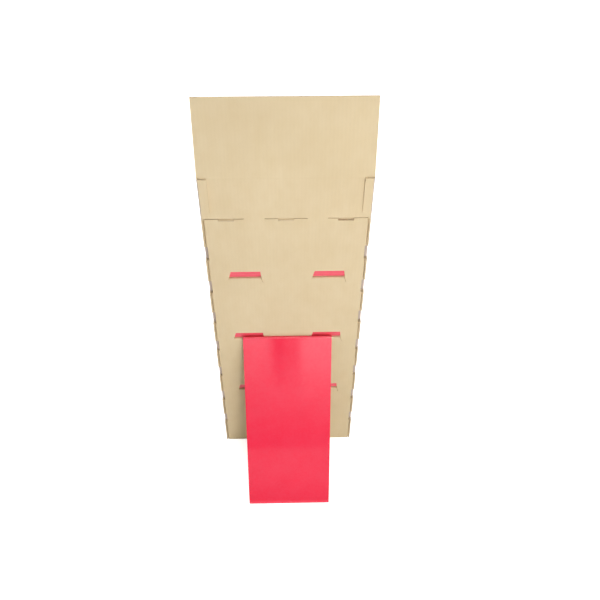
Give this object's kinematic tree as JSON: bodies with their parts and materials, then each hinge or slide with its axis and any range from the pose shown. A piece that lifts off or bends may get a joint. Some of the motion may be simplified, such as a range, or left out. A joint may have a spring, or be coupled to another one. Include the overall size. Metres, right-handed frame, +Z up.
{
  "type": "cardboard display stand",
  "caption": "Freestanding corrugated cardboard floor display: tiered trays between double side walls, a header board that leans forward, and an easel leg glued to the kraft back.",
  "frame": {"origin": "on the floor, at the middle of the rectangle that the body's front edges and the leg's foot take up", "axes": "+Z up; the open front with the trays faces -Y; the kraft back panel and the easel leg face +Y; X runs across the width"},
  "size_m": [0.3, 0.323, 0.9853],
  "materials": {
    "body_board": "matte kraft liner on the rear face, printed on the other",
    "tray_board": "satin print",
    "leg_board": "gloss laminated print",
    "brace_board": "matte kraft liner"
  },
  "bodies": {
    "root": {"body_wrap": "body_board", "base_tray": "tray_board", "lower_shelf": "tray_board", "middle_shelf": "tray_board", "upper_shelf": "tray_board", "top_shelf": "tray_board", "easel_leg": "leg_board", "leg_brace": "brace_board"}
  },
  "joints": []
}
